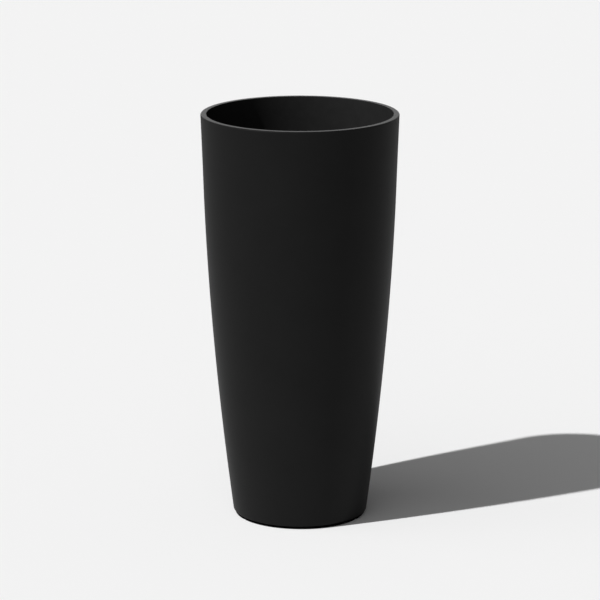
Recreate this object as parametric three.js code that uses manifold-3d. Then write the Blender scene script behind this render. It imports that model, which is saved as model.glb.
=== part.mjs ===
// A tall round floor planter: one fibre-reinforced shell with a softly bowed, tapered wall and a
// flat lip, a lift-out shelf halfway up that carries the soil or a pot, four bonded lugs under the
// shelf, three rubber drain plugs in the floor, and three curved rubber strips under the base.
// Millimetres, +Z up, origin on the ground at the planter's axis.
import * as THREE from "three";
import { mergeVertices } from "three/addons/utils/BufferGeometryUtils.js";
import Module from "manifold-3d";

const wasm = await Module();
wasm.setup();

// ---- Driving dimensions -------------------------------------------------------------------

// Shell, outside
const HEIGHT = 762; // ground to lip
const RIM_RADIUS = 183.1; // at the lip
const BASE_RADIUS = 125.4; // where the wall's line meets the base
const BASE_LEAN = THREE.MathUtils.degToRad(7.45); // the wall leans out this much at the base
const TOP_LEAN = THREE.MathUtils.degToRad(0.35); // and this much at the top, but for the flare
const FLARE = 2.2; // the wall's last part opens out by this much more
const FLARE_HEIGHT = 130; // over this height
const BASE_ROUND = 3; // outside edge of the base
const LIP_OUTER_ROUND = 2.5;

// Shell, inside
const WALL = 6; // laminate thickness
const LIP_WIDTH = 10.6; // laminate thickness at the lip
const LIP_BUILD_UP = 130; // the wall thickens to the lip over this height
const LIP_INNER_ROUND = 1.2;
const FLOOR = 8;
const FLOOR_ROUND = 12; // inside corner between floor and wall

// Rubber strips under the base: a ring in parts, with gaps that let drained water out
const STRIP_COUNT = 3;
const STRIP_WIDTH = 14;
const STRIP_THICKNESS = 5.5;
const STRIP_EDGE = 0.8; // chamfer on the strip's lower edges
const STRIP_INSET = 0.8; // from the edge of the flat base to the strip
const STRIP_GAP = 10; // between two strips' ends

// Drain holes and their plugs
const DRAIN_COUNT = 3;
const DRAIN_CIRCLE = 50;
const DRAIN_RADIUS = 10;
const PLUG_CLEARANCE = 0.3;
const PLUG_TAPER = 0.7; // the stem's tip is this much slimmer than its root
const PLUG_RECESS = 0.8; // the stem stops this far above the base's underside
const FLANGE_RADIUS = 15;
const FLANGE_THICKNESS = 3.5;
const FLANGE_ROUND = 1.5;
const TAB_WIDTH = 14;
const TAB_HEIGHT = 13; // above the flange
const TAB_THICKNESS = 4;

// Lugs that carry the shelf
const SHELF_SEAT = 400; // height of the lugs' top faces
const LUG_COUNT = 4;
const LUG_WIDTH = 40;
const LUG_REACH = 24; // from the wall towards the axis
const LUG_PLATE = 6;
const LUG_BACK = 5;
const LUG_DROP = 45; // height of the back plate
const LUG_GUSSET = 5;
const LUG_GUSSET_TOE = 4; // the gusset stops this short of the plate's nose and the back's foot
const BOND_LINE = 0.3; // resin between lug and wall

// Lift-out shelf
const SHELF_CLEARANCE = 2.8; // between the wall and the plate, at the plate's middle
const SHELF_PLATE = 6;
const SHELF_EDGE = 1; // chamfer round the plate
const RIB_DEPTH = 14;
const RIB_WIDTH = 10;
const RIB_LENGTH = 200;
const RIB_SPACING = 90; // between the two ribs' middles
const SLOT_COUNT = 2; // finger slots
const SLOT_CIRCLE = 84;
const SLOT_LENGTH = 72;
const SLOT_WIDTH = 26;
const HOLE_RADIUS = 2.7; // the shelf's drain holes
// Circles of drain holes. Each hole's angle is from +Y, and each has a twin across the axis.
const HOLE_CIRCLES = [
  { radius: 26, degrees: [-45, 45] },
  { radius: 70, degrees: [-15, 0, 15] },
  { radius: 112, degrees: [-30, 0, 30] },
  { radius: 142, degrees: [-60, -30, 0, 30, 60, 90] },
];

// Facets
const ROUND_SEGMENTS = 72;
const SMALL_SEGMENTS = 24;
const HOLE_SEGMENTS = 10;
const WALL_STEPS = 9;
const LIP_STEPS = 5;
const ARC_STEPS = 3;
const OVERCUT = 5; // a cutting tool runs this far past what it cuts

// ---- Heights and radii that follow --------------------------------------------------------

const BASE_Z = STRIP_THICKNESS;
const FLOOR_TOP = BASE_Z + FLOOR;
const WALL_HEIGHT = HEIGHT - BASE_Z;
const TOP_RADIUS = RIM_RADIUS - FLARE;

// The wall's outer line without its flare: a cubic that leaves the base and reaches the top at
// their two leans.
const wallLine = new THREE.CubicBezierCurve(
  new THREE.Vector2(BASE_RADIUS, BASE_Z),
  new THREE.Vector2(BASE_RADIUS + (Math.tan(BASE_LEAN) * WALL_HEIGHT) / 3, BASE_Z + WALL_HEIGHT / 3),
  new THREE.Vector2(TOP_RADIUS - (Math.tan(TOP_LEAN) * WALL_HEIGHT) / 3, HEIGHT - WALL_HEIGHT / 3),
  new THREE.Vector2(TOP_RADIUS, HEIGHT),
);

const flareAt = (z) => FLARE * Math.max(0, (z - HEIGHT) / FLARE_HEIGHT + 1) ** 2;
// The control points are evenly spaced in height, so the curve's parameter is height itself.
const outerRadius = (z) => wallLine.getPoint((z - BASE_Z) / WALL_HEIGHT).x + flareAt(z);
const laminate = (z) =>
  WALL + (LIP_WIDTH - WALL) * THREE.MathUtils.smoothstep(z, HEIGHT - LIP_BUILD_UP, HEIGHT);
const innerRadius = (z) => outerRadius(z) - laminate(z);

const LUG_NOSE = innerRadius(SHELF_SEAT) - LUG_REACH;
const SHELF_RADIUS = innerRadius(SHELF_SEAT + SHELF_PLATE / 2) - SHELF_CLEARANCE;

// ---- Shapes and solids --------------------------------------------------------------------

// Points of a round of radius `round` between the flat at height z0 and the line radiusAt,
// from the flat to the line, tangent to both.
function cornerArc(radiusAt, z0, round) {
  const slope = (radiusAt(z0 + 2 * round) - radiusAt(z0 + round)) / round;
  const lean = Math.atan(slope);
  const centreRadius = radiusAt(z0 + round * (1 - Math.sin(lean))) - round * Math.cos(lean);
  return arcPoints(centreRadius, z0 + round, round, -Math.PI / 2, -lean);
}

function arcPoints(centreRadius, centreZ, round, from, to, steps = ARC_STEPS) {
  return Array.from({ length: steps + 1 }, (_, i) => {
    const angle = THREE.MathUtils.lerp(from, to, i / steps);
    return new THREE.Vector2(
      centreRadius + round * Math.cos(angle),
      centreZ + round * Math.sin(angle),
    );
  });
}

// Points of radiusAt strictly between two heights.
function linePoints(radiusAt, fromZ, toZ, steps) {
  return Array.from({ length: steps - 1 }, (_, i) => {
    const z = THREE.MathUtils.lerp(fromZ, toZ, (i + 1) / steps);
    return new THREE.Vector2(radiusAt(z), z);
  });
}

const point = (radius, z) => new THREE.Vector2(radius, z);

// A body turned about Z from [radius, height] points.
const turned = (points, segments = ROUND_SEGMENTS) =>
  new THREE.LatheGeometry(points, segments).rotateX(Math.PI / 2);

const rod = (radius, z0, z1, segments) =>
  turned([point(0, z0), point(radius, z0), point(radius, z1), point(0, z1)], segments);

// A shape in the radius-height plane, given thickness across that plane, centred on it.
function plate(points, thickness) {
  const shape = new THREE.Shape(points);
  return new THREE.ExtrudeGeometry(shape, { depth: thickness, bevelEnabled: false })
    .translate(0, 0, -thickness / 2)
    .rotateX(Math.PI / 2);
}

// A closed geometry as a solid that can be cut and joined.
function solid(geometry) {
  const bare = geometry.index ? geometry.toNonIndexed() : geometry.clone();
  bare.deleteAttribute("normal");
  bare.deleteAttribute("uv");
  const merged = mergeVertices(bare, 1e-3);
  const corners = merged.index.array;
  const triVerts = [];
  for (let i = 0; i < corners.length; i += 3) {
    const [a, b, c] = corners.slice(i, i + 3);
    if (a !== b && b !== c && c !== a) triVerts.push(a, b, c);
  }
  return new wasm.Manifold(
    new wasm.Mesh({
      numProp: 3,
      vertProperties: merged.attributes.position.array,
      triVerts: new Uint32Array(triVerts),
    }),
  );
}

const joined = (geometries) => geometries.map(solid).reduce((all, next) => all.add(next));

function geometryOf(body) {
  const { vertProperties, triVerts } = body.getMesh();
  return new THREE.BufferGeometry()
    .setAttribute("position", new THREE.BufferAttribute(vertProperties, 3))
    .setIndex(new THREE.BufferAttribute(triVerts, 1));
}

function named(name, geometry, material) {
  const mesh = new THREE.Mesh(geometry, material);
  mesh.name = name;
  return mesh;
}

const aboutAxis = (count, start = 0) =>
  Array.from({ length: count }, (_, i) => start + (i * 2 * Math.PI) / count);

// ---- Materials ----------------------------------------------------------------------------

const shellFinish = new THREE.MeshStandardMaterial({ color: 0x1c1c1c, roughness: 0.6, metalness: 0 });
const lugFinish = new THREE.MeshStandardMaterial({ color: 0x2a2a2a, roughness: 0.8, metalness: 0 });
const shelfFinish = new THREE.MeshStandardMaterial({ color: 0x232323, roughness: 0.5, metalness: 0 });
const rubberFinish = new THREE.MeshStandardMaterial({ color: 0x151515, roughness: 0.9, metalness: 0 });

// ---- Shell --------------------------------------------------------------------------------

function shellProfile() {
  const baseArc = cornerArc(outerRadius, BASE_Z, BASE_ROUND);
  const floorArc = cornerArc(innerRadius, FLOOR_TOP, FLOOR_ROUND);
  const outerTop = HEIGHT - LIP_OUTER_ROUND;
  const innerTop = HEIGHT - LIP_INNER_ROUND;
  const buildUp = HEIGHT - LIP_BUILD_UP;
  return [
    point(0, BASE_Z),
    ...baseArc,
    ...linePoints(outerRadius, baseArc.at(-1).y, outerTop, WALL_STEPS),
    ...arcPoints(outerRadius(outerTop) - LIP_OUTER_ROUND, outerTop, LIP_OUTER_ROUND, 0, Math.PI / 2),
    ...arcPoints(innerRadius(innerTop) + LIP_INNER_ROUND, innerTop, LIP_INNER_ROUND, Math.PI / 2, Math.PI),
    ...linePoints(innerRadius, innerTop, buildUp, LIP_STEPS),
    point(innerRadius(buildUp), buildUp),
    ...linePoints(innerRadius, buildUp, floorArc.at(-1).y, WALL_STEPS),
    ...floorArc.reverse(),
    point(0, FLOOR_TOP),
  ];
}

function shell() {
  const body = solid(turned(shellProfile()));
  const holes = aboutAxis(DRAIN_COUNT, Math.PI / 2).map((angle) =>
    rod(DRAIN_RADIUS, BASE_Z - OVERCUT, FLOOR_TOP + OVERCUT, SMALL_SEGMENTS).translate(
      DRAIN_CIRCLE * Math.cos(angle),
      DRAIN_CIRCLE * Math.sin(angle),
      0,
    ),
  );
  return named("planter_shell", geometryOf(body.subtract(joined(holes))), shellFinish);
}

// ---- Foot strips --------------------------------------------------------------------------

// The whole ring that the strips are parts of.
function footRing() {
  const outer = cornerArc(outerRadius, BASE_Z, BASE_ROUND)[0].x - STRIP_INSET;
  const inner = outer - STRIP_WIDTH;
  return solid(
    turned([
      point(inner + STRIP_EDGE, 0),
      point(outer - STRIP_EDGE, 0),
      point(outer, STRIP_EDGE),
      point(outer, STRIP_THICKNESS),
      point(inner, STRIP_THICKNESS),
      point(inner, STRIP_EDGE),
      point(inner + STRIP_EDGE, 0),
    ]),
  );
}

// One strip: the part of the ring between two gaps whose sides run straight out from the axis.
function strip(index, angle, ring) {
  const half = Math.PI / STRIP_COUNT;
  const tip = STRIP_GAP / 2 / Math.sin(half);
  const reach = 3 * BASE_RADIUS;
  const wedge = new THREE.Shape([
    point(tip, 0),
    point(tip + reach * Math.cos(half), -reach * Math.sin(half)),
    point(tip + reach * Math.cos(half), reach * Math.sin(half)),
  ]);
  const sector = new THREE.ExtrudeGeometry(wedge, {
    depth: STRIP_THICKNESS + 2 * OVERCUT,
    bevelEnabled: false,
  })
    .translate(0, 0, -OVERCUT)
    .rotateZ(angle);
  return named(`foot_strip_${index + 1}`, geometryOf(ring.intersect(solid(sector))), rubberFinish);
}

// ---- Drain plugs --------------------------------------------------------------------------

// Stem and flange, with the flange's underside at height 0.
function plugBody() {
  const root = DRAIN_RADIUS - PLUG_CLEARANCE;
  const stemLength = FLOOR - PLUG_RECESS;
  return turned(
    [
      point(0, -stemLength),
      point(root - PLUG_TAPER, -stemLength),
      point(root, 0),
      point(FLANGE_RADIUS, 0),
      ...arcPoints(
        FLANGE_RADIUS - FLANGE_ROUND,
        FLANGE_THICKNESS - FLANGE_ROUND,
        FLANGE_ROUND,
        0,
        Math.PI / 2,
      ),
      point(0, FLANGE_THICKNESS),
    ],
    SMALL_SEGMENTS,
  );
}

// The upright tab that the plug is pulled out by.
function plugTab() {
  const half = TAB_WIDTH / 2;
  const shoulder = FLANGE_THICKNESS + TAB_HEIGHT - half;
  const outline = new THREE.Shape()
    .moveTo(-half, FLANGE_THICKNESS / 2)
    .lineTo(half, FLANGE_THICKNESS / 2)
    .lineTo(half, shoulder)
    .absarc(0, shoulder, half, 0, Math.PI);
  return new THREE.ExtrudeGeometry(outline, {
    depth: TAB_THICKNESS,
    bevelEnabled: false,
    curveSegments: HOLE_SEGMENTS,
  })
    .translate(0, 0, -TAB_THICKNESS / 2)
    .rotateX(Math.PI / 2);
}

function plug(index, angle) {
  const mesh = named(
    `drain_plug_${index + 1}`,
    geometryOf(joined([plugBody(), plugTab()])),
    rubberFinish,
  );
  mesh.position.set(DRAIN_CIRCLE * Math.cos(angle), DRAIN_CIRCLE * Math.sin(angle), FLOOR_TOP);
  return mesh;
}

// ---- Shelf lugs ---------------------------------------------------------------------------

// The shell's inside, less the bond line, as tall as a lug.
function lugCavity() {
  const low = SHELF_SEAT - LUG_DROP - OVERCUT;
  const high = SHELF_SEAT + OVERCUT;
  const bonded = (z) => innerRadius(z) - BOND_LINE;
  return solid(
    turned([
      point(0, low),
      point(bonded(low), low),
      ...linePoints(bonded, low, high, WALL_STEPS),
      point(bonded(high), high),
      point(0, high),
    ]),
  );
}

function lug(index, angle, cavity) {
  const behind = innerRadius(SHELF_SEAT) + OVERCUT;
  const underPlate = SHELF_SEAT - LUG_PLATE;
  const foot = SHELF_SEAT - LUG_DROP;
  const backFace = (z) => innerRadius(z) - LUG_BACK;
  const angleSection = plate(
    [
      point(LUG_NOSE, underPlate),
      point(backFace(underPlate), underPlate),
      point(backFace(foot), foot),
      point(behind, foot),
      point(behind, SHELF_SEAT),
      point(LUG_NOSE, SHELF_SEAT),
    ],
    LUG_WIDTH,
  );
  const gusset = plate(
    [
      point(LUG_NOSE + LUG_GUSSET_TOE, underPlate),
      point(backFace(foot + LUG_GUSSET_TOE), foot + LUG_GUSSET_TOE),
      point(behind, foot + LUG_GUSSET_TOE),
      point(behind, underPlate + LUG_PLATE / 2),
      point(LUG_NOSE + LUG_GUSSET_TOE, underPlate + LUG_PLATE / 2),
    ],
    LUG_GUSSET,
  );
  const raw = [angleSection, gusset].map((geometry) => geometry.rotateZ(angle));
  return named(`shelf_lug_${index + 1}`, geometryOf(joined(raw).intersect(cavity)), lugFinish);
}

// ---- Lift-out shelf -----------------------------------------------------------------------

function shelfPlate() {
  const plateTop = SHELF_SEAT + SHELF_PLATE;
  return turned([
    point(0, SHELF_SEAT),
    point(SHELF_RADIUS - SHELF_EDGE, SHELF_SEAT),
    point(SHELF_RADIUS, SHELF_SEAT + SHELF_EDGE),
    point(SHELF_RADIUS, plateTop - SHELF_EDGE),
    point(SHELF_RADIUS - SHELF_EDGE, plateTop),
    point(0, plateTop),
  ]);
}

// Two stiffening ribs under the plate, each buried in it by half its thickness.
function shelfRibs() {
  const height = RIB_DEPTH + SHELF_PLATE / 2;
  return [-1, 1].map((side) =>
    new THREE.BoxGeometry(RIB_WIDTH, RIB_LENGTH, height).translate(
      (side * RIB_SPACING) / 2,
      0,
      SHELF_SEAT - RIB_DEPTH + height / 2,
    ),
  );
}

function shelfHole(radius, angle) {
  const low = SHELF_SEAT - OVERCUT;
  const high = SHELF_SEAT + SHELF_PLATE + OVERCUT;
  return rod(HOLE_RADIUS, low, high, HOLE_SEGMENTS).translate(0, radius, 0).rotateZ(angle);
}

const shelfHoles = () =>
  HOLE_CIRCLES.flatMap(({ radius, degrees }) =>
    degrees.flatMap((angle) =>
      aboutAxis(2, THREE.MathUtils.degToRad(angle)).map((turn) => shelfHole(radius, turn)),
    ),
  );

// A finger slot: a rounded-end slot that lies across the radius.
function fingerSlot(angle) {
  const straight = (SLOT_LENGTH - SLOT_WIDTH) / 2;
  const round = SLOT_WIDTH / 2;
  const outline = new THREE.Shape()
    .absarc(0, straight, round, 0, Math.PI)
    .absarc(0, -straight, round, Math.PI, 2 * Math.PI);
  return new THREE.ExtrudeGeometry(outline, {
    depth: SHELF_PLATE + 2 * OVERCUT,
    bevelEnabled: false,
    curveSegments: HOLE_SEGMENTS,
  })
    .translate(SLOT_CIRCLE, 0, SHELF_SEAT - OVERCUT)
    .rotateZ(angle);
}

function shelf() {
  const cuts = joined([...shelfHoles(), ...aboutAxis(SLOT_COUNT).map(fingerSlot)]);
  const body = joined([shelfPlate(), ...shelfRibs()]).subtract(cuts);
  return named("lift_out_shelf", geometryOf(body), shelfFinish);
}

// ---- Assembly -----------------------------------------------------------------------------

const planter = new THREE.Group();
planter.name = "tall_planter";

const cavity = lugCavity();
const ring = footRing();
planter.add(
  shell(),
  ...aboutAxis(LUG_COUNT, Math.PI / LUG_COUNT).map((angle, i) => lug(i, angle, cavity)),
  shelf(),
  ...aboutAxis(DRAIN_COUNT, Math.PI / 2).map((angle, i) => plug(i, angle)),
  ...aboutAxis(STRIP_COUNT, -Math.PI / 2).map((angle, i) => strip(i, angle, ring)),
);

export default planter;
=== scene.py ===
"""A tall round fiberglass planter on a pale studio floor. Metres, +Z up, origin on the ground at
the planter's axis. The frame gives the pieces' places; this script gives them their fine surface."""

import math

import bmesh
import bpy
from mathutils import Matrix, Vector, noise


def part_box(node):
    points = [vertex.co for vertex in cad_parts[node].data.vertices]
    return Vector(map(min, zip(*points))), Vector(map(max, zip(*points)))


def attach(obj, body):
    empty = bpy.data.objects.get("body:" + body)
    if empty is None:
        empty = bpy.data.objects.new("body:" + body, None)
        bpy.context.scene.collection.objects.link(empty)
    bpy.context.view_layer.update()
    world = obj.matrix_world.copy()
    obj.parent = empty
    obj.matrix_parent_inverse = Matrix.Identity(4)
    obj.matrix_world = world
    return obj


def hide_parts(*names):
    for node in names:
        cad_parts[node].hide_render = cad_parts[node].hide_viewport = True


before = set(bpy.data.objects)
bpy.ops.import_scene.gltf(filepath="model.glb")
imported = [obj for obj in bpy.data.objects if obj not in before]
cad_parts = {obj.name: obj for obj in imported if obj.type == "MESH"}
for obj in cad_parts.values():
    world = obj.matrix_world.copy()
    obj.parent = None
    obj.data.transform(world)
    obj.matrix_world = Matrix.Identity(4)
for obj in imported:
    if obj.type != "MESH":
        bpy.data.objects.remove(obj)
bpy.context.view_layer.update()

# ---- Sizes read from the frame ---------------------------------------------------------------

shell_low, shell_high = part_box("planter_shell")
shelf_low, shelf_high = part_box("lift_out_shelf")
plug_low, plug_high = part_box("drain_plug_1")
strip_low, strip_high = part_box("foot_strip_1")
lug_low, lug_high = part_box("shelf_lug_1")

BASE_Z = shell_low.z
HEIGHT = shell_high.z
SHELF_SEAT = lug_high.z
SHELF_RADIUS = shelf_high.x
SHELF_RIBS_Z = shelf_low.z
SHELF_TOP = shelf_high.z
PLUG_RADIUS = (plug_high.x - plug_low.x) / 2
STRIP_RADIUS = -strip_low.y
STRIP_THICKNESS = strip_high.z
LUG_FOOT = lug_low.z

# ---- Sizes of the wall and of the small shapes -----------------------------------------------

RIM_RADIUS = 0.1831
BASE_RADIUS = 0.1254
BASE_LEAN = math.radians(7.45)
TOP_LEAN = math.radians(0.35)
FLARE = 0.0022
FLARE_HEIGHT = 0.130
BASE_ROUND = 0.003
FLOOR = 0.008
FLOOR_ROUND = 0.012
WALL = 0.006
LIP_WIDTH = 0.0110
LIP_BUILD_UP = 0.130
LIP_OUTER_ROUND = 0.0025
LIP_INNER_ROUND = 0.0007
DRAIN_RADIUS = 0.010
FLANGE_THICKNESS = 0.0035
TAB_WIDTH = 0.014
TAB_THICKNESS = 0.004
LUG_WIDTH = 0.040
LUG_REACH = 0.024
LUG_PLATE = 0.006
LUG_BACK = 0.005
LUG_GUSSET = 0.005
LUG_TOE = 0.004
LUG_OVERRUN = 0.005
GUSSET_HOLLOW = 0.0016
BEAD_RADIUS = 0.0023
TAB_RIDGES = 3
TAB_RIDGE_SPACING = 0.0025
STRIP_WIDTH = 0.014
STRIP_GAP = 0.010
STRIP_GROOVE = 0.0022
STRIP_GROOVE_DEPTH = 0.0009
RIB_WIDTH = 0.010
RIB_LENGTH = 0.200
RIB_SPACING = 0.090
SLOT_CIRCLE = 0.084
SLOT_LENGTH = 0.072
SLOT_WIDTH = 0.026
HOLE_RADIUS = 0.0027
# The gentle waves of the inside laminate: their depth, and how many there are in a metre.
WAVE_DEPTH = 0.0005
WAVES_COARSE = 18
WAVES_FINE = 43
# Circles of drain holes in the shelf: a radius, and the holes' angles from +Y in degrees.
HOLE_CIRCLES = (
    (0.026, (-45, 45)),
    (0.070, (-15, 0, 15)),
    (0.112, (-30, 0, 30)),
    (0.142, (-60, -30, 0, 30, 60, 90)),
)

ROUND_SEGMENTS = 256
SMALL_SEGMENTS = 64
WALL_STEPS = 96
ARC_STEPS = 8
CRISP_ANGLE = math.radians(35)

FLOOR_TOP = BASE_Z + FLOOR


# ---- Curves and meshes -----------------------------------------------------------------------


def wall_radius(z):
    """Outside radius at a height: a cubic between the base's lean and the top's, and the flare."""
    height = HEIGHT - BASE_Z
    t = (z - BASE_Z) / height
    top = RIM_RADIUS - FLARE
    base_handle = BASE_RADIUS + math.tan(BASE_LEAN) * height / 3
    top_handle = top - math.tan(TOP_LEAN) * height / 3
    return (
        (1 - t) ** 3 * BASE_RADIUS
        + 3 * (1 - t) ** 2 * t * base_handle
        + 3 * (1 - t) * t**2 * top_handle
        + t**3 * top
        + FLARE * max(0, (z - HEIGHT) / FLARE_HEIGHT + 1) ** 2
    )


def smoothstep(value, low, high):
    """0 below low, 1 above high, and a smooth rise between them."""
    t = min(max((value - low) / (high - low), 0), 1)
    return t * t * (3 - 2 * t)


def inner_radius(z):
    """Inside radius at a height: the laminate thickens towards the lip."""
    laminate = WALL + (LIP_WIDTH - WALL) * smoothstep(z, HEIGHT - LIP_BUILD_UP, HEIGHT)
    return wall_radius(z) - laminate


def arc(radius, z, size, start, end, steps=ARC_STEPS):
    """(radius, z) points of an arc about (radius, z), angles in degrees."""
    points = []
    for i in range(steps + 1):
        angle = math.radians(start + (end - start) * i / steps)
        points.append((radius + size * math.cos(angle), z + size * math.sin(angle)))
    return points


def corner(line, z0, size):
    """The round between the flat at z0 and a wall line, from the flat to the wall."""
    lean = math.atan((line(z0 + 2 * size) - line(z0 + size)) / size)
    centre = line(z0 + size * (1 - math.sin(lean))) - size * math.cos(lean)
    return arc(centre, z0 + size, size, -90, -math.degrees(lean))


def along(line, start, end):
    """Points of a wall line strictly between two heights."""
    heights = [start + (end - start) * (i + 1) / WALL_STEPS for i in range(WALL_STEPS - 1)]
    return [(line(z), z) for z in heights]


def smooth(mesh):
    """Smooth shading, with edges sharper than CRISP_ANGLE kept crisp."""
    edit = bmesh.new()
    edit.from_mesh(mesh)
    bmesh.ops.recalc_face_normals(edit, faces=edit.faces)
    for face in edit.faces:
        face.smooth = True
    for edge in edit.edges:
        edge.smooth = edge.calc_face_angle(0) < CRISP_ANGLE
    edit.to_mesh(mesh)
    edit.free()


def add_object(name, data):
    piece = bpy.data.objects.new(name, data)
    bpy.context.scene.collection.objects.link(piece)
    return piece


def lathe(name, profile, segments=ROUND_SEGMENTS):
    """A body turned about Z from (radius, z) points that start and end on the axis, or close."""
    closed = profile[0] == profile[-1]
    points = profile[:-1] if closed else profile
    edit = bmesh.new()
    rings = []
    for radius, z in points:
        if radius < 1e-9:
            rings.append([edit.verts.new((0, 0, z))])
            continue
        ring = []
        for i in range(segments):
            angle = 2 * math.pi * i / segments
            ring.append(edit.verts.new((radius * math.cos(angle), radius * math.sin(angle), z)))
        rings.append(ring)
    pairs = list(zip(rings, rings[1:]))
    if closed:
        pairs.append((rings[-1], rings[0]))
    for low, high in pairs:
        for i in range(segments):
            j = (i + 1) % segments
            if len(low) == 1:
                edit.faces.new((low[0], high[j], high[i]))
            elif len(high) == 1:
                edit.faces.new((low[i], low[j], high[0]))
            else:
                edit.faces.new((low[i], low[j], high[j], high[i]))
    mesh = bpy.data.meshes.new(name)
    edit.to_mesh(mesh)
    edit.free()
    smooth(mesh)
    return mesh


def apply_modifiers(piece):
    """Bakes a piece's modifiers into a mesh of its own."""
    graph = bpy.context.evaluated_depsgraph_get()
    baked = bpy.data.meshes.new_from_object(piece.evaluated_get(graph))
    piece.modifiers.clear()
    piece.data = baked


def combine(piece, meshes, operation):
    """Joins meshes to a piece (UNION), or takes them away from it (DIFFERENCE)."""
    for mesh in meshes:
        other = add_object("other", mesh)
        boolean = piece.modifiers.new("combine", "BOOLEAN")
        boolean.operation = operation
        boolean.solver = "EXACT"
        boolean.object = other
        apply_modifiers(piece)
        bpy.data.objects.remove(other)
    smooth(piece.data)


def circle_outline(x, y, radius, count=SMALL_SEGMENTS):
    angles = [2 * math.pi * i / count for i in range(count)]
    return [(x + radius * math.cos(a), y + radius * math.sin(a)) for a in angles]


def curve_mesh(curve):
    """A curve's surface as a mesh."""
    shape = add_object(curve.name, curve)
    graph = bpy.context.evaluated_depsgraph_get()
    mesh = bpy.data.meshes.new_from_object(shape.evaluated_get(graph))
    bpy.data.objects.remove(shape)
    return mesh


def filled(name, outlines, low, high, edge):
    """A flat plate between two heights, with rounded edges, from its outline and its holes."""
    curve = bpy.data.curves.new(name, "CURVE")
    curve.dimensions = "2D"
    curve.fill_mode = "BOTH"
    curve.extrude = (high - low) / 2 - edge
    curve.bevel_depth = edge
    curve.bevel_resolution = 2
    curve.offset = -edge
    for outline in outlines:
        spline = curve.splines.new("POLY")
        spline.points.add(len(outline) - 1)
        for point, (x, y) in zip(spline.points, outline):
            point.co = (x, y, 0, 1)
        spline.use_cyclic_u = True
    mesh = curve_mesh(curve)
    mesh.transform(Matrix.Translation((0, 0, (low + high) / 2)))
    merge_points(mesh)
    smooth(mesh)
    return mesh


def merge_points(mesh):
    """Joins points that lie in the same place."""
    edit = bmesh.new()
    edit.from_mesh(mesh)
    bmesh.ops.remove_doubles(edit, verts=edit.verts, dist=1e-6)
    edit.to_mesh(mesh)
    edit.free()


def moved(mesh, matrix):
    copy = mesh.copy()
    copy.transform(matrix)
    return copy


def box_mesh(name, low, high, edge):
    """A box with rounded edges."""
    edit = bmesh.new()
    bmesh.ops.create_cube(edit, size=1)
    size = Vector(high) - Vector(low)
    bmesh.ops.scale(edit, vec=size, verts=edit.verts)
    bmesh.ops.translate(edit, vec=(Vector(high) + Vector(low)) / 2, verts=edit.verts)
    bmesh.ops.bevel(edit, geom=edit.edges, offset=edge, segments=3, profile=0.5, affect="EDGES")
    mesh = bpy.data.meshes.new(name)
    edit.to_mesh(mesh)
    edit.free()
    smooth(mesh)
    return mesh


def finish_piece(piece, body, node, material):
    """Puts a piece on its body, in its node's place, in its material, with its flats shaded flat."""
    weighted = piece.modifiers.new("weighted", "WEIGHTED_NORMAL")
    weighted.keep_sharp = True
    apply_modifiers(piece)
    piece.data.materials.clear()
    piece.data.materials.append(material)
    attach(piece, body)
    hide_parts(node)


# ---- Materials -------------------------------------------------------------------------------


class Nodes:
    """A short way to build a material's nodes."""

    def __init__(self, name):
        self.material = bpy.data.materials.new(name)
        self.material.use_nodes = True
        self.tree = self.material.node_tree
        self.shader = self.tree.nodes["Principled BSDF"]
        self.place = self.tree.nodes.new("ShaderNodeTexCoord").outputs["Object"]

    def add(self, kind, **values):
        node = self.tree.nodes.new(kind)
        for key, value in values.items():
            setattr(node, key, value)
        return node

    def link(self, source, target):
        self.tree.links.new(source, target)

    def noise(self, scale, detail=4, roughness=0.5):
        node = self.add("ShaderNodeTexNoise")
        node.inputs["Scale"].default_value = scale
        node.inputs["Detail"].default_value = detail
        node.inputs["Roughness"].default_value = roughness
        self.link(self.place, node.inputs["Vector"])
        return node.outputs["Fac"]

    def ranged(self, source, low, high, source_low=0.3, source_high=0.7):
        node = self.add("ShaderNodeMapRange")
        node.inputs["From Min"].default_value = source_low
        node.inputs["From Max"].default_value = source_high
        node.inputs["To Min"].default_value = low
        node.inputs["To Max"].default_value = high
        self.link(source, node.inputs["Value"])
        return node.outputs["Result"]

    def grey(self, source, low, high, source_low=0.3, source_high=0.7):
        """A grey between two values, driven by a texture."""
        return self.as_grey(self.ranged(source, low, high, source_low, source_high))

    def as_grey(self, level):
        colour = self.add("ShaderNodeCombineColor")
        for channel in ("Red", "Green", "Blue"):
            self.link(level, colour.inputs[channel])
        return colour.outputs["Color"]

    def attribute(self, name):
        return self.add("ShaderNodeAttribute", attribute_name=name).outputs["Fac"]

    def mixed(self, factor, first, second):
        """A blend of two numbers."""
        node = self.add("ShaderNodeMix", data_type="FLOAT")
        sockets = [s for s in node.inputs if s.enabled]
        for source, socket in zip((factor, first, second), sockets):
            self.link(source, socket)
        return next(s for s in node.outputs if s.enabled)

    def bump(self, source, distance, strength=1.0, below=None):
        node = self.add("ShaderNodeBump")
        node.inputs["Distance"].default_value = distance
        node.inputs["Strength"].default_value = strength
        self.link(source, node.inputs["Height"])
        if below is not None:
            self.link(below, node.inputs["Normal"])
        return node.outputs["Normal"]


def gel_coat():
    """The shell's outside: a matte black coat, rubbed smoother on the lip."""
    nodes = Nodes("gel_coat")
    shader = nodes.shader
    mottle = nodes.noise(9, detail=3)
    speck = nodes.noise(900, detail=2)
    nodes.link(nodes.grey(mottle, 0.0078, 0.0090), shader.inputs["Base Color"])
    matte = nodes.ranged(speck, 0.47, 0.57)
    rubbed = nodes.ranged(speck, 0.265, 0.325)
    nodes.link(nodes.mixed(nodes.attribute("lip"), matte, rubbed), shader.inputs["Roughness"])
    peel = nodes.bump(nodes.noise(350, detail=2), 0.00002)
    nodes.link(nodes.bump(speck, 0.00001, below=peel), shader.inputs["Normal"])
    shader.inputs["Specular IOR Level"].default_value = 0.068
    return nodes.material


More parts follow.
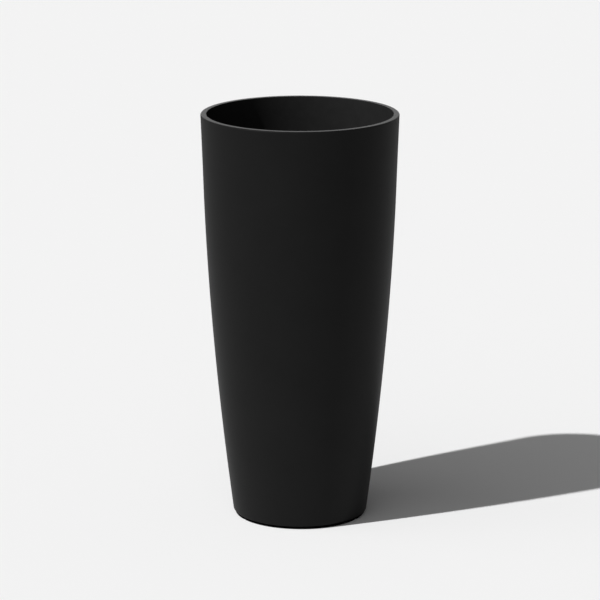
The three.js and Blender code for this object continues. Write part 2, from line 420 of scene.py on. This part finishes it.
def inside_coat():
    """The shell's inside: a dull black wash, with no gloss."""
    nodes = Nodes("inside_coat")
    shader = nodes.shader
    brushed = nodes.noise(60, detail=5, roughness=0.6)
    nodes.link(nodes.grey(brushed, 0.020, 0.0235), shader.inputs["Base Color"])
    nodes.link(nodes.ranged(brushed, 0.9, 1.0), shader.inputs["Roughness"])
    nodes.link(nodes.bump(nodes.noise(400, detail=3), 0.00004), shader.inputs["Normal"])
    shader.inputs["Specular IOR Level"].default_value = 0
    return nodes.material


def raw_laminate():
    """The lugs: bare laminate whose strands show."""
    nodes = Nodes("raw_laminate")
    shader = nodes.shader
    strands = nodes.noise(260, detail=6, roughness=0.7)
    nodes.link(nodes.grey(strands, 0.018, 0.034), shader.inputs["Base Color"])
    nodes.link(nodes.ranged(strands, 0.45, 0.8), shader.inputs["Roughness"])
    nodes.link(nodes.bump(strands, 0.0004), shader.inputs["Normal"])
    return nodes.material


def shelf_plastic():
    """The shelf: dark moulded plastic with a fine grain."""
    nodes = Nodes("shelf_plastic")
    shader = nodes.shader
    grain = nodes.noise(1400, detail=3)
    cloud = nodes.noise(14, detail=3)
    nodes.link(nodes.grey(cloud, 0.019, 0.024), shader.inputs["Base Color"])
    nodes.link(nodes.ranged(grain, 0.42, 0.58), shader.inputs["Roughness"])
    nodes.link(nodes.bump(grain, 0.00006), shader.inputs["Normal"])
    return nodes.material


def rubber():
    """The plugs and the strips: near-black rubber, a little dusty, darkened past rubber's own colour
    as painted shade for the dark line under the base.
    """
    nodes = Nodes("rubber")
    shader = nodes.shader
    dust = nodes.noise(60, detail=5, roughness=0.6)
    # Colour darker than real rubber: painted shade for the strips' dark line under the shell's base;
    # the plugs share it.
    nodes.link(nodes.grey(dust, 0.0015, 0.003), shader.inputs["Base Color"])
    nodes.link(nodes.ranged(dust, 0.8, 0.95), shader.inputs["Roughness"])
    nodes.link(nodes.bump(nodes.noise(1800, detail=2), 0.00003), shader.inputs["Normal"])
    shader.inputs["Specular IOR Level"].default_value = 0.01
    return nodes.material


# ---- Shell -----------------------------------------------------------------------------------


def shell_profile():
    """(radius, z) points of the shell, from the axis below the base to the axis on the floor."""
    base = corner(wall_radius, BASE_Z, BASE_ROUND)
    inside = corner(inner_radius, FLOOR_TOP, FLOOR_ROUND)
    outer_top = HEIGHT - LIP_OUTER_ROUND
    inner_top = HEIGHT - LIP_INNER_ROUND
    outer_lip = arc(wall_radius(outer_top) - LIP_OUTER_ROUND, outer_top, LIP_OUTER_ROUND, 0, 90)
    inner_lip = arc(inner_radius(inner_top) + LIP_INNER_ROUND, inner_top, LIP_INNER_ROUND, 90, 180)
    return [
        (0, BASE_Z),
        *base,
        *along(wall_radius, base[-1][1], outer_top),
        *outer_lip,
        *inner_lip,
        *along(inner_radius, inner_top, inside[-1][1]),
        *reversed(inside),
        (0, FLOOR_TOP),
    ]


def drain_cutter(x, y):
    """A hole's cutter, flared at both faces so that the hole's edges come out rounded."""
    flare = 0.0008
    over = 0.002
    profile = [
        (0, BASE_Z - over),
        (DRAIN_RADIUS + flare, BASE_Z - over),
        *arc(DRAIN_RADIUS + flare, BASE_Z + flare, -flare, 90, 0, steps=4),
        *arc(DRAIN_RADIUS + flare, FLOOR_TOP - flare, -flare, 0, -90, steps=4),
        (DRAIN_RADIUS + flare, FLOOR_TOP + over),
        (0, FLOOR_TOP + over),
    ]
    cutter = lathe("drain_cutter", profile, SMALL_SEGMENTS)
    cutter.transform(Matrix.Translation((x, y, 0)))
    return cutter


def plug_places():
    """(x, y) of each drain plug, from the frame."""
    places = []
    for i in (1, 2, 3):
        low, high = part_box(f"drain_plug_{i}")
        places.append(((low.x + high.x) / 2, (low.y + high.y) / 2))
    return places


def paint(mesh, name, value_at):
    """Gives each point of a mesh a named value for its material."""
    values = [value_at(math.hypot(v.co.x, v.co.y), v.co.z) for v in mesh.vertices]
    mesh.attributes.new(name, "FLOAT", "POINT").data.foreach_set("value", values)


def is_lip(radius, z):
    """1 on the lip's flat and the upper part of its outer round, 0 elsewhere."""
    on_flat = z > HEIGHT - 1e-5
    on_round = z > HEIGHT - 0.0006 and radius > RIM_RADIUS - 0.004
    return float(on_flat or on_round)


def roughen_inside(mesh):
    """The hand-laid laminate's gentle waves on the inside, below the built-up lip."""
    for vertex in mesh.vertices:
        radius = math.hypot(vertex.co.x, vertex.co.y)
        above_floor = smoothstep(vertex.co.z, FLOOR_TOP, FLOOR_TOP + 0.03)
        below_lip = 1 - smoothstep(vertex.co.z, HEIGHT - 1.6 * LIP_BUILD_UP, HEIGHT - LIP_BUILD_UP)
        if not 0.05 < radius < wall_radius(vertex.co.z) - WALL / 2:
            continue
        wave = noise.noise(vertex.co * WAVES_COARSE) + 0.5 * noise.noise(vertex.co * WAVES_FINE)
        push = WAVE_DEPTH * wave * above_floor * below_lip / radius
        vertex.co.x -= vertex.co.x * push
        vertex.co.y -= vertex.co.y * push


def make_shell(outside, inside):
    """The moulded shell, its drain holes, and its two coats."""
    mesh = lathe("shell", shell_profile())
    roughen_inside(mesh)
    piece = add_object("shell", mesh)
    combine(piece, [drain_cutter(x, y) for x, y in plug_places()], "DIFFERENCE")
    paint(piece.data, "lip", is_lip)
    finish_piece(piece, "planter", "planter_shell", outside)
    piece.data.materials.append(inside)
    for face in piece.data.polygons:
        radius = math.hypot(face.center.x, face.center.y)
        in_cavity = radius < wall_radius(face.center.z) - WALL / 2
        if in_cavity and FLOOR_TOP - 1e-6 < face.center.z < HEIGHT - LIP_INNER_ROUND / 2:
            face.material_index = 1


# ---- Shelf -----------------------------------------------------------------------------------


def slot_outline(x):
    """A finger slot's outline, across the radius."""
    straight = (SLOT_LENGTH - SLOT_WIDTH) / 2
    half = SLOT_WIDTH / 2
    turn = 24
    upper = [math.pi * i / turn for i in range(turn + 1)]
    points = [(x + half * math.cos(a), straight + half * math.sin(a)) for a in upper]
    points += [(x - half * math.cos(a), -straight - half * math.sin(a)) for a in upper]
    return points


def shelf_holes():
    """(x, y) of each drain hole. Each angle has a twin across the axis."""
    places = []
    for circle, angles in HOLE_CIRCLES:
        for angle in angles:
            x = -circle * math.sin(math.radians(angle))
            y = circle * math.cos(math.radians(angle))
            places += [(x, y), (-x, -y)]
    return places


def rib_mesh(middle):
    """A rib under the shelf's plate, with rounded lower corners, buried in the plate."""
    end = RIB_LENGTH / 2
    turn = 0.005
    buried = (SHELF_SEAT + SHELF_TOP) / 2
    outline = [(end, buried), (-end, buried)]
    outline += arc(-end + turn, SHELF_RIBS_Z + turn, turn, 180, 270)
    outline += arc(end - turn, SHELF_RIBS_Z + turn, turn, -90, 0)
    rib = filled("rib", [outline], -RIB_WIDTH / 2, RIB_WIDTH / 2, 0.0012)
    upright = Matrix.Rotation(math.pi / 2, 4, "Z") @ Matrix.Rotation(math.pi / 2, 4, "X")
    return moved(rib, Matrix.Translation((middle, 0, 0)) @ upright)


def make_shelf(material):
    """The plate with its holes and finger slots, and the ribs below it."""
    outlines = [circle_outline(0, 0, SHELF_RADIUS, ROUND_SEGMENTS)]
    outlines += [circle_outline(x, y, HOLE_RADIUS, 24) for x, y in shelf_holes()]
    outlines += [slot_outline(SLOT_CIRCLE), slot_outline(-SLOT_CIRCLE)]
    piece = add_object("shelf", filled("shelf", outlines, SHELF_SEAT, SHELF_TOP, 0.0009))
    ribs = [rib_mesh(side * RIB_SPACING / 2) for side in (-1, 1)]
    combine(piece, ribs, "UNION")
    finish_piece(piece, "shelf", "lift_out_shelf", material)


# ---- Lugs ------------------------------------------------------------------------------------


def radial_plate(name, outline, width, edge):
    """A plate that stands out from the axis, from its (radius, z) outline, along +X."""
    plate = filled(name, [outline], -width / 2, width / 2, edge)
    return moved(plate, Matrix.Rotation(math.pi / 2, 4, "X"))


def angle_section():
    """A lug's flat top plate and its back, with a rounded inside corner."""
    nose = inner_radius(SHELF_SEAT) - LUG_REACH
    behind = inner_radius(SHELF_SEAT) + LUG_OVERRUN
    under = SHELF_SEAT - LUG_PLATE
    turn = 0.003
    face = inner_radius(under) - LUG_BACK
    outline = [(nose, SHELF_SEAT), (nose, under)]
    outline += arc(face - turn, under - turn, turn, 90, 0)
    outline += [(inner_radius(LUG_FOOT) - LUG_BACK, LUG_FOOT), (behind, LUG_FOOT)]
    outline += [(behind, SHELF_SEAT)]
    return radial_plate("lug", outline, LUG_WIDTH, 0.0008)


def gusset():
    """The brace between a lug's plate and its back, with a hollowed edge."""
    nose = inner_radius(SHELF_SEAT) - LUG_REACH + LUG_TOE
    top = SHELF_SEAT - LUG_PLATE / 2
    foot = LUG_FOOT + LUG_TOE
    back = inner_radius(foot) - LUG_BACK
    under = SHELF_SEAT - LUG_PLATE
    outline = [(back + 0.002, top), (nose, top)]
    steps = 12
    for i in range(steps + 1):
        along_edge = i / steps
        hollow = GUSSET_HOLLOW * math.sin(math.pi * along_edge)
        radius = nose + (back - nose) * along_edge + hollow
        outline.append((radius, under + (foot - under) * along_edge + hollow * 0.5))
    outline.append((back + 0.002, foot))
    return radial_plate("gusset", outline, LUG_GUSSET, 0.0008)


def wall_cutter():
    """The shell's wall about the lugs, as a solid."""
    low, high = LUG_FOOT - 0.012, SHELF_SEAT + 0.006
    line = [(inner_radius(z) - 0.00005, z) for z in (low, (low + high) / 2, high)]
    outside = [(inner_radius(high) + 0.03, high), (inner_radius(high) + 0.03, low)]
    return lathe("wall", [*line, *outside, line[0]])


def resin_bead():
    """The bead of resin along a lug's sides and foot, where it is bonded to the wall."""
    side = LUG_WIDTH / 2 + 0.0004
    top, foot = SHELF_SEAT - 0.0042, LUG_FOOT - 0.0004
    turn = 0.002
    path = [(-side, top + (foot + turn - top) * i / 16) for i in range(16)]
    path += arc(-side + turn, foot + turn, turn, 180, 270, steps=3)
    path += [(-side + turn + 2 * (side - turn) * i / 16, foot) for i in range(1, 16)]
    path += arc(side - turn, foot + turn, turn, 270, 360, steps=3)
    path += [(side, foot + turn + (top - foot - turn) * i / 16) for i in range(1, 17)]
    curve = bpy.data.curves.new("bead", "CURVE")
    curve.dimensions = "3D"
    curve.bevel_depth = BEAD_RADIUS
    curve.bevel_resolution = 4
    curve.use_fill_caps = True
    spline = curve.splines.new("POLY")
    spline.points.add(len(path) - 1)
    last = len(path) - 1
    for i, (point, (across, z)) in enumerate(zip(spline.points, path)):
        radius = inner_radius(z)
        angle = across / radius
        place = Vector((radius * math.cos(angle), radius * math.sin(angle), z))
        point.co = (*place, 1)
        thin_ends = min(1, 0.35 + 0.25 * min(i, last - i))
        unevenness = 1 + 0.35 * noise.noise(place * 130)
        point.radius = thin_ends * unevenness
    mesh = curve_mesh(curve)
    merge_points(mesh)
    return mesh


def make_lugs(material):
    """The four lugs, cut back to the wall that they are bonded to."""
    whole = add_object("lug", angle_section())
    combine(whole, [gusset(), resin_bead()], "UNION")
    combine(whole, [wall_cutter()], "DIFFERENCE")
    for i in (1, 2, 3, 4):
        low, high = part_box(f"shelf_lug_{i}")
        turn = Matrix.Rotation(math.atan2(low.y + high.y, low.x + high.x), 4, "Z")
        piece = add_object(f"lug_{i}", moved(whole.data, turn))
        finish_piece(piece, "planter", f"shelf_lug_{i}", material)
    bpy.data.objects.remove(whole)


# ---- Plugs -----------------------------------------------------------------------------------


def plug_profile():
    """(radius, z) points of a plug: tapered tip, stem, and a flange with a ring groove on top."""
    tip_z = plug_low.z
    seat_z = FLOOR_TOP
    top_z = seat_z + FLANGE_THICKNESS
    stem = DRAIN_RADIUS - 0.0003
    return [
        (0, tip_z),
        *arc(stem - 0.0017, tip_z + 0.001, 0.001, -90, 0),
        (stem, seat_z),
        *arc(PLUG_RADIUS - 0.0005, seat_z + 0.0005, 0.0005, -90, 0),
        *arc(PLUG_RADIUS - 0.0015, top_z - 0.0015, 0.0015, 0, 90),
        (PLUG_RADIUS * 0.72, top_z),
        *arc(PLUG_RADIUS * 0.66, top_z, 0.0005, 0, -180),
        (0, top_z),
    ]


def plug_tab():
    """The upright tab that a plug is pulled by."""
    top_z = FLOOR_TOP + FLANGE_THICKNESS
    half = TAB_WIDTH / 2
    shoulder = plug_high.z - top_z - half
    angles = [math.pi * i / 32 for i in range(33)]
    outline = [(-half, -0.001), (half, -0.001)]
    outline += [(half * math.cos(a), shoulder + half * math.sin(a)) for a in angles]
    tab = filled("tab", [outline], -TAB_THICKNESS / 2, TAB_THICKNESS / 2, 0.0008)
    tab.transform(Matrix.Translation((0, 0, top_z)) @ Matrix.Rotation(math.pi / 2, 4, "X"))
    return tab


def tab_ridge(z):
    """A ridge across both sides of a tab, for the fingers."""
    reach = Vector((TAB_WIDTH * 0.3, TAB_THICKNESS / 2 + 0.0004, 0.0005))
    middle = Vector((0, 0, z))
    return box_mesh("ridge", middle - reach, middle + reach, 0.0003)


def make_plugs(material):
    """The three plugs, each on a body of its own."""
    whole = add_object("plug", lathe("plug", plug_profile(), SMALL_SEGMENTS))
    first = FLOOR_TOP + FLANGE_THICKNESS + 0.0045
    ridges = [tab_ridge(first + TAB_RIDGE_SPACING * i) for i in range(TAB_RIDGES)]
    combine(whole, [plug_tab(), *ridges], "UNION")
    for i, (x, y) in enumerate(plug_places()):
        piece = add_object(f"plug_{i + 1}", moved(whole.data, Matrix.Translation((x, y, 0))))
        finish_piece(piece, f"plug_{i + 1}", f"drain_plug_{i + 1}", material)
    bpy.data.objects.remove(whole)


# ---- Foot strips -----------------------------------------------------------------------------


def strip_profile():
    """A strip's (radius, z) section: rounded below, with two grooves, and bonded above."""
    outer, inner = STRIP_RADIUS, STRIP_RADIUS - STRIP_WIDTH
    edge = 0.0008
    glue = 0.0003
    half = STRIP_GROOVE / 2
    slope = 0.0003
    points = arc(inner + edge, edge, edge, 180, 270, steps=4)
    for share in (1 / 3, 2 / 3):
        middle = inner + STRIP_WIDTH * share
        points += [(middle - half, 0), (middle - half + slope, STRIP_GROOVE_DEPTH)]
        points += [(middle + half - slope, STRIP_GROOVE_DEPTH), (middle + half, 0)]
    points += arc(outer - edge, edge, edge, -90, 0, steps=4)
    points += [(outer, STRIP_THICKNESS - glue), (outer - glue, STRIP_THICKNESS)]
    points += [(inner + glue, STRIP_THICKNESS), (inner, STRIP_THICKNESS - glue)]
    return points


def strip_mesh():
    """A strip about +X: its section swept round between two gaps with parallel sides."""
    profile = strip_profile()
    steps = 80
    edit = bmesh.new()
    sections = []
    for i in range(steps + 1):
        section = []
        for radius, z in profile:
            half = math.pi / 3 - math.asin(STRIP_GAP / 2 / radius)
            angle = half * (2 * i / steps - 1)
            place = (radius * math.cos(angle), radius * math.sin(angle), z)
            section.append(edit.verts.new(place))
        sections.append(section)
    for one, two in zip(sections, sections[1:]):
        for k in range(len(profile)):
            m = (k + 1) % len(profile)
            edit.faces.new((one[k], one[m], two[m], two[k]))
    ends = [edit.faces.new(sections[0]), edit.faces.new(sections[-1])]
    rims = [edge for face in ends for edge in face.edges]
    bmesh.ops.bevel(edit, geom=rims, offset=0.0004, segments=2, profile=0.5, affect="EDGES")
    mesh = bpy.data.meshes.new("strip")
    edit.to_mesh(mesh)
    edit.free()
    smooth(mesh)
    return mesh


def make_strips(material):
    """The three strips, each turned to its place in the frame."""
    strip = strip_mesh()
    for i in (1, 2, 3):
        low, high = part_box(f"foot_strip_{i}")
        turn = Matrix.Rotation(math.atan2(low.y + high.y, low.x + high.x), 4, "Z")
        piece = add_object(f"strip_{i}", moved(strip, turn))
        finish_piece(piece, "planter", f"foot_strip_{i}", material)


# ---- Studio ----------------------------------------------------------------------------------

CAMERA_PLACE = (0, -5.8097, 1.8544)
CAMERA_TILT = math.radians(76.023)
CAMERA_LENS = 192.77
# The lamps' places are the azimuths and elevations that their light travels from, from +X.
SUN = {"azimuth": 210.4, "elevation": 49.78, "width": 1.1, "strength": 3.245}
FILL = {"azimuth": 225, "elevation": 32, "width": 100, "strength": 0.6}
SKY = 0.118
PALE = 0.887
BACKDROP_TOP = math.radians(20)
# The floor gives back less light with distance: from PALE near the planter to FAR_BOUNCE.
FAR_BOUNCE = 0.25
BOUNCE_FADES = (1, 6)
FLOOR_REACH = 60


def make_camera():
    """A long lens, as far off as the photograph's perspective asks."""
    camera = bpy.data.objects.new("camera", bpy.data.cameras.new("camera"))
    camera.data.lens = CAMERA_LENS
    camera.data.sensor_width = 36
    camera.location = CAMERA_PLACE
    camera.rotation_euler = (CAMERA_TILT, 0, 0)
    bpy.context.scene.collection.objects.link(camera)
    bpy.context.scene.camera = camera


def make_lamp(name, azimuth, elevation, width, strength):
    """A far lamp, as wide in the sky as its width in degrees."""
    data = bpy.data.lights.new(name, "SUN")
    data.energy = strength
    data.angle = math.radians(width)
    lamp = bpy.data.objects.new(name, data)
    turn, rise = math.radians(azimuth), math.radians(elevation)
    level = math.cos(rise)
    beam = -Vector((level * math.cos(turn), level * math.sin(turn), math.sin(rise)))
    lamp.rotation_mode = "QUATERNION"
    lamp.rotation_quaternion = beam.to_track_quat("-Z", "Y")
    bpy.context.scene.collection.objects.link(lamp)


def make_world():
    """A dim sky. The camera sees the pale backdrop in it, and so do reflections, low down."""
    world = bpy.data.worlds.new("studio")
    world.use_nodes = True
    world.cycles.sampling_method = "NONE"
    bpy.context.scene.world = world
    tree = world.node_tree
    background = tree.nodes["Background"]
    background.inputs["Color"].default_value = (1, 1, 1, 1)
    path = tree.nodes.new("ShaderNodeLightPath")
    place = tree.nodes.new("ShaderNodeTexCoord")
    axes = tree.nodes.new("ShaderNodeSeparateXYZ")
    tree.links.new(place.outputs["Generated"], axes.inputs["Vector"])
    low = tree.nodes.new("ShaderNodeMapRange")
    low.inputs["From Min"].default_value = math.sin(BACKDROP_TOP)
    low.inputs["From Max"].default_value = math.sin(BACKDROP_TOP * 1.4)
    low.inputs["To Min"].default_value = 1
    low.inputs["To Max"].default_value = 0
    tree.links.new(axes.outputs["Z"], low.inputs["Value"])
    reflected = tree.nodes.new("ShaderNodeMath")
    reflected.operation = "MULTIPLY"
    tree.links.new(path.outputs["Is Glossy Ray"], reflected.inputs[0])
    tree.links.new(low.outputs["Result"], reflected.inputs[1])
    seen = tree.nodes.new("ShaderNodeMath")
    seen.operation = "MAXIMUM"
    tree.links.new(path.outputs["Is Camera Ray"], seen.inputs[0])
    tree.links.new(reflected.outputs["Value"], seen.inputs[1])
    strength = tree.nodes.new("ShaderNodeMix")
    strength.inputs["A"].default_value = SKY
    strength.inputs["B"].default_value = PALE
    tree.links.new(seen.outputs["Value"], strength.inputs["Factor"])
    tree.links.new(strength.outputs["Result"], background.inputs["Strength"])


def floor_colour(nodes):
    """Pale all over for the camera, and darker with distance for the light that it gives back."""
    away = nodes.add("ShaderNodeVectorMath", operation="LENGTH")
    nodes.link(nodes.place, away.inputs[0])
    bounce = nodes.ranged(away.outputs["Value"], PALE, FAR_BOUNCE, *BOUNCE_FADES)
    camera_ray = nodes.add("ShaderNodeLightPath").outputs["Is Camera Ray"]
    pale = nodes.add("ShaderNodeValue").outputs["Value"]
    pale.default_value = PALE
    return nodes.as_grey(nodes.mixed(camera_ray, bounce, pale))


def make_floor():
    """The studio floor, far wider than the camera sees."""
    edit = bmesh.new()
    bmesh.ops.create_circle(edit, cap_ends=True, segments=128, radius=FLOOR_REACH)
    mesh = bpy.data.meshes.new("studio_floor")
    edit.to_mesh(mesh)
    edit.free()
    floor = add_object("studio_floor", mesh)
    nodes = Nodes("studio_floor")
    nodes.link(floor_colour(nodes), nodes.shader.inputs["Base Color"])
    nodes.shader.inputs["Roughness"].default_value = 1
    nodes.shader.inputs["Specular IOR Level"].default_value = 0
    mesh.materials.append(nodes.material)


# ---- Making ----------------------------------------------------------------------------------

# Rubber darkened as painted shade for the dark line under the base; the plugs use the same material.
rubber_with_painted_shade = rubber()
make_shell(gel_coat(), inside_coat())
make_shelf(shelf_plastic())
make_lugs(raw_laminate())
make_plugs(rubber_with_painted_shade)
make_strips(rubber_with_painted_shade)
make_camera()
make_lamp("sun", **SUN)
make_lamp("fill", **FILL)
make_world()
make_floor()
bpy.context.scene.view_settings.view_transform = "Standard"
